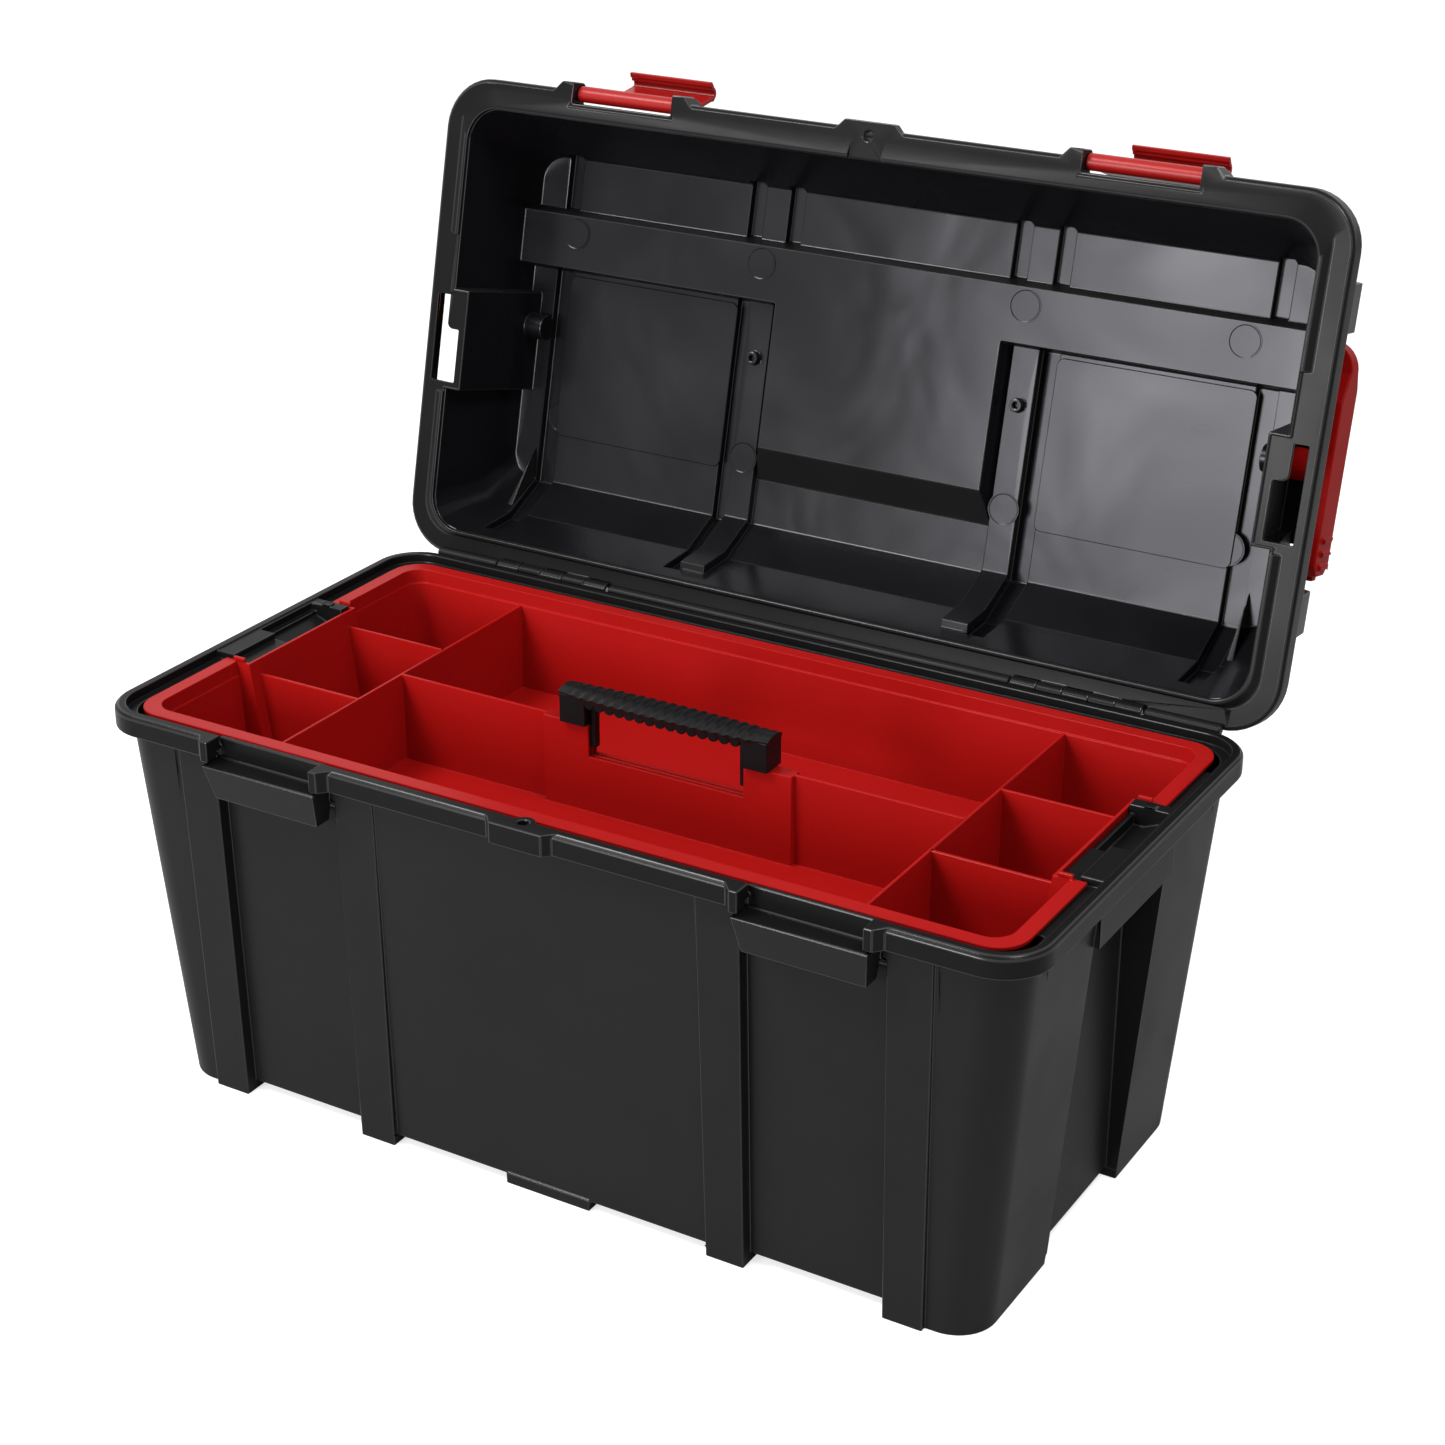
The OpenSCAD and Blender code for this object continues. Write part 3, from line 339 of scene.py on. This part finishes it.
def rounded_copy(node, body, name, material, width,
                 crease=22, reshape=None, edge_finish=None):
    fresh()
    source = parts[node]
    piece = bpy.data.objects.new(name, source.data.copy())
    bpy.context.scene.collection.objects.link(piece)
    bpy.context.view_layer.objects.active = piece
    piece.select_set(True)
    piece.data.materials.clear()
    piece.data.materials.append(material)
    bpy.ops.object.mode_set(mode="EDIT")
    bpy.ops.mesh.select_all(action="SELECT")
    bpy.ops.mesh.remove_doubles(threshold=MERGE_WITHIN)
    bpy.ops.mesh.tris_convert_to_quads(face_threshold=FLAT_WITHIN, shape_threshold=ANY_SHAPE)
    bpy.ops.object.mode_set(mode="OBJECT")
    if reshape:
        reshape(piece)
    edge = piece.modifiers.new("edge", "BEVEL")
    edge.width = width
    edge.segments = 2
    edge.limit_method = "ANGLE"
    edge.angle_limit = math.radians(crease)
    edge.use_clamp_overlap = False
    edge.miter_outer = "MITER_ARC"
    if edge_finish:
        piece.data.materials.append(edge_finish)
        edge.material = EDGE_SLOT
    bpy.ops.object.modifier_apply(modifier="edge")
    shade(piece, crease - 2)
    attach(piece, body)
    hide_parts(node)
    print(name, len(piece.data.polygons), "faces")
    return piece


print("edges can be rounded")

# %% [markdown]
# ## Base
# A rib's outward face comes in triangles, and the cut between them would meet the bevel at a
# corner from both sides and show as a dark line. On the copy the flat outward faces at the
# front and the back are merged before the edges are rounded. Faces above the foot of the rim
# take the rim's darker finish.

# %% Base tub
RIB_Y = 0.125
RIB_FACING = 0.99
RIM_FOOT = 0.218
RIB_FLAT_WITHIN = math.radians(0.2)


def merge_flat_sides(piece):
    bpy.ops.object.mode_set(mode="EDIT")
    bpy.ops.mesh.select_mode(type="FACE")
    bpy.ops.mesh.select_all(action="DESELECT")
    bpy.ops.object.mode_set(mode="OBJECT")
    for face in piece.data.polygons:
        outward = face.normal.y * face.center.y > 0 and abs(face.normal.y) > RIB_FACING
        face.select = outward and abs(face.center.y) > RIB_Y and face.center.z < RIM_FOOT
    bpy.ops.object.mode_set(mode="EDIT")
    bpy.ops.mesh.dissolve_limited(angle_limit=RIB_FLAT_WITHIN)
    bpy.ops.mesh.select_mode(type="VERT")
    bpy.ops.object.mode_set(mode="OBJECT")


base = rounded_copy("base", "base", "base_tub", black_satin, 0.0007,
                    edge_finish=black_edge, reshape=merge_flat_sides)
base.data.materials.append(black_rim)
for face in base.data.polygons:
    if face.material_index == 0 and face.center.z > RIM_FOOT:
        face.material_index = RIM_SLOT

# %% [markdown]
# ## Lid
# The lid's shell runs flat towards the back and then drops steeply to the hinge side. On the
# copy the line where the top ends, inside and outside, is carried further back, so that the
# flat grows and the slope steepens, and the legs and grooves follow it.

# %% Carry the fold of the lid back
TOP_H = 0.066
FOLD_Y = 0.075
FOLD_SHIFT = 0.028
FOLD_DEPTH = 0.0065
FOLD_WITHIN = 0.00015
CORNER_X = 0.2415
CORNER_DEPTH = 0.0005
CORNER_FRONT, CORNER_BACK = 0.057, 0.0775


def fold_back(piece):
    shift = to_open(0, FOLD_SHIFT, 0) - to_open(0, 0, 0)
    moved = 0
    for vertex in piece.data.vertices:
        closed = to_closed(vertex.co)
        out = closed.z - TOP_H
        on_line = out > -FOLD_DEPTH and abs(closed.y - FOLD_Y - out / 2) < FOLD_WITHIN
        at_end = abs(closed.x) > CORNER_X and out > -CORNER_DEPTH
        if on_line or (at_end and CORNER_FRONT < closed.y < CORNER_BACK):
            vertex.co += shift
            moved += 1
    print("fold line:", moved, "points carried back")


print("the fold can be carried back by", FOLD_SHIFT)

# %% [markdown]
# The inside of the lid is glossy and the outside satin. A face belongs to the outside when it
# looks away from the middle of the lid's room. Near the rim it takes the rim's finish.

# %% Lid shell
ROOM_MIDDLE = Vector((0, 0.005, 0.03))
END_WALL_X = 0.23
RIM_FACE_H = 0.002
FLANGE_H = 0.016

lid = rounded_copy("lid", "lid", "lid_shell", black_gloss, 0.0007,
                   reshape=fold_back, edge_finish=black_edge)
lid.data.materials.append(black_rim)
lid.data.materials.append(black_satin)
outside = 0
for face in lid.data.polygons:
    centre = to_closed(face.center)
    normal = to_closed(face.center + face.normal) - centre
    inward = ROOM_MIDDLE - centre
    inward.x = 0 if abs(centre.x) < END_WALL_X else inward.x
    if face.material_index == 0 and (normal.dot(inward) < 0 or centre.z < RIM_FACE_H):
        face.material_index = RIM_SLOT if centre.z < FLANGE_H else SKIN_SLOT
        outside += 1
print("lid faces outside:", outside, "of", len(lid.data.polygons))

# %% [markdown]
# ## Red pieces
# The tray, the two latches and the carry handle are plain rounded copies. The latches are
# shinier than the tray, and the handle is duller.

# %% Tray, latches and carry handle
rounded_copy("tray", "tray", "tray_shell", red_gloss, 0.0005)
rounded_copy("latch_left", "latch_left", "latch_left_red", red_bright, 0.0004)
rounded_copy("latch_right", "latch_right", "latch_right_red", red_bright, 0.0004)
rounded_copy("carry_handle", "carry_handle", "carry_handle_red", red_arm, 0.0009)

# %% [markdown]
# ## Helpers for new pieces
# The pieces that follow are modelled from plain shapes. The helpers start a cube, soften
# sharp edges, pick the faces that look one way, join pieces into one, and lay a piece that
# was modelled on the closed lid into the open one.

# %% Helpers for shapes
LID_CREASE = 13


def cube(place, sizes):
    fresh()
    bpy.ops.mesh.primitive_cube_add(size=1, location=place)
    solid = bpy.context.object
    solid.scale = sizes
    bpy.ops.object.transform_apply(location=False, rotation=False, scale=True)
    return solid


def soften(piece, width, angle):
    soft = piece.modifiers.new("soft", "BEVEL")
    soft.width = width
    soft.segments = 2
    soft.limit_method = "ANGLE"
    soft.angle_limit = math.radians(angle)
    bpy.ops.object.modifier_apply(modifier="soft")


def select_faces_towards(obj, direction):
    bpy.ops.mesh.select_all(action="DESELECT")
    bpy.ops.mesh.select_mode(type="FACE")
    bpy.ops.object.mode_set(mode="OBJECT")
    for face in obj.data.polygons:
        face.select = face.normal.dot(Vector(direction)) > 0.9
    bpy.ops.object.mode_set(mode="EDIT")


def joined(pieces, name):
    fresh()
    for piece in pieces:
        piece.select_set(True)
    bpy.context.view_layer.objects.active = pieces[0]
    bpy.ops.object.join()
    bpy.ops.object.transform_apply(location=True, rotation=True, scale=True)
    piece = bpy.context.object
    piece.name = name
    return piece


def lay_in_lid(piece, material):
    piece.data.transform(turn)
    piece.data.materials.clear()
    piece.data.materials.append(material)
    shade(piece, LID_CREASE)
    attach(piece, "lid")
    print(piece.name, len(piece.data.polygons), "faces")


print("helpers for shapes are ready")

# %% [markdown]
# ## Moulding marks
# Round marks inside the lid are left by the pins that push it out of the mould. Each is a
# shallow disc with a fine stepped ring, and they stand in mirrored pairs.

# %% Pin marks inside the lid
MARK_RADIUS = 0.0098
MARK_THICK = 0.0016
MARK_PROUD = 0.0004
MARK_RING = 0.0011
MARK_PLACES = [(0.0875, -0.056, 0.053), (0.221, -0.056, 0.053), (0.202, 0.017, 0.066),
               (0.226, 0.061, 0.066), (0.0885, 0.063, 0.061)]


def pin_mark(x, y, h):
    fresh()
    middle = rim + h + MARK_THICK / 2 - MARK_PROUD
    bpy.ops.mesh.primitive_cylinder_add(vertices=48, radius=MARK_RADIUS, depth=MARK_THICK,
                                        location=(x, y, middle))
    mark = bpy.context.object
    bpy.ops.object.mode_set(mode="EDIT")
    select_faces_towards(mark, (0, 0, -1))
    bpy.ops.mesh.inset(thickness=MARK_RING / 2, depth=0.0)
    bpy.ops.mesh.inset(thickness=MARK_RING / 2, depth=-MARK_PROUD * 0.6)
    bpy.ops.object.mode_set(mode="OBJECT")
    return mark


marks = [pin_mark(side * x, y, h) for x, y, h in MARK_PLACES for side in (-1, 1)]
lay_in_lid(joined(marks, "lid_pin_marks"), black_gloss)

# %% [markdown]
# ## Comb grip of the tray
# The grip is a bowed plank, widest in its middle, with shallow waves across its top. A row of
# round lobes hangs under it for the fingers, and a block and a narrow leg at each end clip it
# over the tray's centre wall. It is one moulding, so its pieces are joined.

# %% Measures of the comb grip
LOBES = 15
POST_INSET = 0.017
comb_low, comb_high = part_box("tray_handle")
half_long, half_wide, comb_top = comb_high.x, comb_high.y, comb_high.z
wall_top = comb_low.z + 0.014
post_in = half_long - POST_INSET
lobe_pitch = 2 * post_in / LOBES


def bow(x):
    return 0.74 + 0.26 * (1 - (x / half_long) ** 2)


print("a lobe every", lobe_pitch, "over a half length of", post_in)

# %% Plank, lobes and blocks
PLANK_THICK = 0.0042
CROWN_DROP = 0.0020
WAVE_DEPTH = 0.0009
WAVE_STOP = 0.006
WAVE_FADE = 0.004
LOBE_RADIUS = 0.0033
LOBE_DOWN = 0.0056
LOBE_INSET = 0.0009


def plank():
    fresh()
    bpy.ops.mesh.primitive_grid_add(x_subdivisions=180, y_subdivisions=14, size=2,
                                    location=(0, 0, 0))
    top = bpy.context.object
    for vertex in top.data.vertices:
        x, across = vertex.co.x * half_long, vertex.co.y
        waved = min(1.0, max(0.0, (half_long - WAVE_STOP - abs(x)) / WAVE_FADE))
        wave = WAVE_DEPTH * waved * (0.5 + 0.5 * math.cos(2 * math.pi * x / lobe_pitch))
        height = comb_top - CROWN_DROP * across ** 2 - wave
        vertex.co = (x, across * half_wide * bow(x), height)
    body = top.modifiers.new("body", "SOLIDIFY")
    body.thickness = PLANK_THICK
    body.offset = -1
    bpy.ops.object.modifier_apply(modifier="body")
    soften(top, 0.0006, 50)
    return top


def lobe(x):
    fresh()
    bpy.ops.mesh.primitive_cylinder_add(vertices=24, radius=LOBE_RADIUS,
                                        depth=2 * (half_wide * bow(x) - LOBE_INSET),
                                        location=(x, 0, comb_top - LOBE_DOWN),
                                        rotation=(math.pi / 2, 0, 0))
    roll = bpy.context.object
    soften(roll, 0.0008, 60)
    return roll


def block(x0, x1, half_y, z0, z1, bevel):
    solid = cube(((x0 + x1) / 2, 0, (z0 + z1) / 2), (abs(x1 - x0), 2 * half_y, z1 - z0))
    bpy.ops.object.mode_set(mode="EDIT")
    bpy.ops.mesh.select_all(action="SELECT")
    bpy.ops.mesh.bevel(offset=bevel, segments=2, affect="EDGES")
    bpy.ops.object.mode_set(mode="OBJECT")
    return solid


print("the shapes of the grip are ready")

# %% [markdown]
# The end blocks sit on the wall, and the legs reach down past its top edge.

# %% Comb grip
comb = [plank()]
comb += [lobe((i + 0.5 - LOBES / 2) * lobe_pitch) for i in range(LOBES)]
for side in (-1, 1):
    comb.append(block(side * post_in, side * (half_long - 0.0004), half_wide * 0.74,
                      wall_top, comb_top - 0.003, 0.0007))
    comb.append(block(side * (post_in - 0.0036), side * (post_in + 0.003), 0.0022,
                      comb_low.z, comb_top - 0.004, 0.0005))
grip = joined(comb, "tray_comb_grip")
grip.data.materials.clear()
grip.data.materials.append(grip_black)
shade(grip, 35)
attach(grip, "tray")
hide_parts("tray_handle")
print("comb grip", len(grip.data.polygons), "faces")

# %% [markdown]
# ## Panels of the lid
# Each side panel is a slightly raised field with round corners, and its outline shows as a
# fine line.

# %% Side panels
PANEL_THICK = 0.0016
PANEL_PROUD = 0.0007
PANEL_STEP = 0.0002
PANEL_CORNER = 0.0045
PANEL_INNER, PANEL_OUTER = 0.107, 0.229
PANEL_FRONT, PANEL_BACK = -0.029, 0.0725


def panel(x0, x1, y0, y1, h):
    middle = rim + h + PANEL_THICK / 2 - PANEL_PROUD
    field = cube(((x0 + x1) / 2, (y0 + y1) / 2, middle), (x1 - x0, y1 - y0, PANEL_THICK))
    bpy.ops.object.mode_set(mode="EDIT")
    bpy.ops.mesh.select_mode(type="EDGE")
    bpy.ops.mesh.select_all(action="DESELECT")
    bpy.ops.object.mode_set(mode="OBJECT")
    for edge in field.data.edges:
        a, b = (field.data.vertices[i].co for i in edge.vertices)
        edge.select = abs(a.z - b.z) > PANEL_THICK / 2
    bpy.ops.object.mode_set(mode="EDIT")
    bpy.ops.mesh.bevel(offset=PANEL_CORNER, segments=10, affect="EDGES")
    select_faces_towards(field, (0, 0, -1))
    bpy.ops.mesh.inset(thickness=0.0004, depth=0.0)
    bpy.ops.transform.translate(value=(0, 0, -PANEL_STEP))
    bpy.ops.object.mode_set(mode="OBJECT")
    return field


fields = []
for side in (-1, 1):
    ends = sorted((side * PANEL_INNER, side * PANEL_OUTER))
    fields.append(panel(*ends, PANEL_FRONT, PANEL_BACK, TOP_H))
lay_in_lid(joined(fields, "lid_panels"), black_gloss)

# %% [markdown]
# ## Back edge of the lid
# Along its back the lid rolls over into a round bead on the hinge line, so no light falls
# between lid and base. The bead turns in place, and it is left out round the hinge pins.

# %% Rolled back edge
BEAD_RADIUS = 0.0031
BEAD_END = 0.262
PIN_CLEAR = 0.0025


def bead(x0, x1):
    fresh()
    bpy.ops.mesh.primitive_cylinder_add(vertices=32, radius=BEAD_RADIUS, depth=x1 - x0,
                                        location=((x0 + x1) / 2, hinge_at.y, hinge_at.z),
                                        rotation=(0, math.pi / 2, 0))
    roll = bpy.context.object
    soften(roll, 0.0008, 60)
    return roll


left_low, left_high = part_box("hinge_pin_left")
right_low, right_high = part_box("hinge_pin_right")
spans = [(-BEAD_END, left_low.x - PIN_CLEAR),
         (left_high.x + PIN_CLEAR, right_low.x - PIN_CLEAR),
         (right_high.x + PIN_CLEAR, BEAD_END)]
lay_in_lid(joined([bead(a, b) for a, b in spans], "lid_back_bead"), black_satin)

# %% [markdown]
# The hinge pins are shown as the parts give them, and only take their finish.

# %% Hinge pins
for side in ("left", "right"):
    pin = parts["hinge_pin_" + side]
    pin.data.materials.clear()
    pin.data.materials.append(steel)
print("pins have their steel")
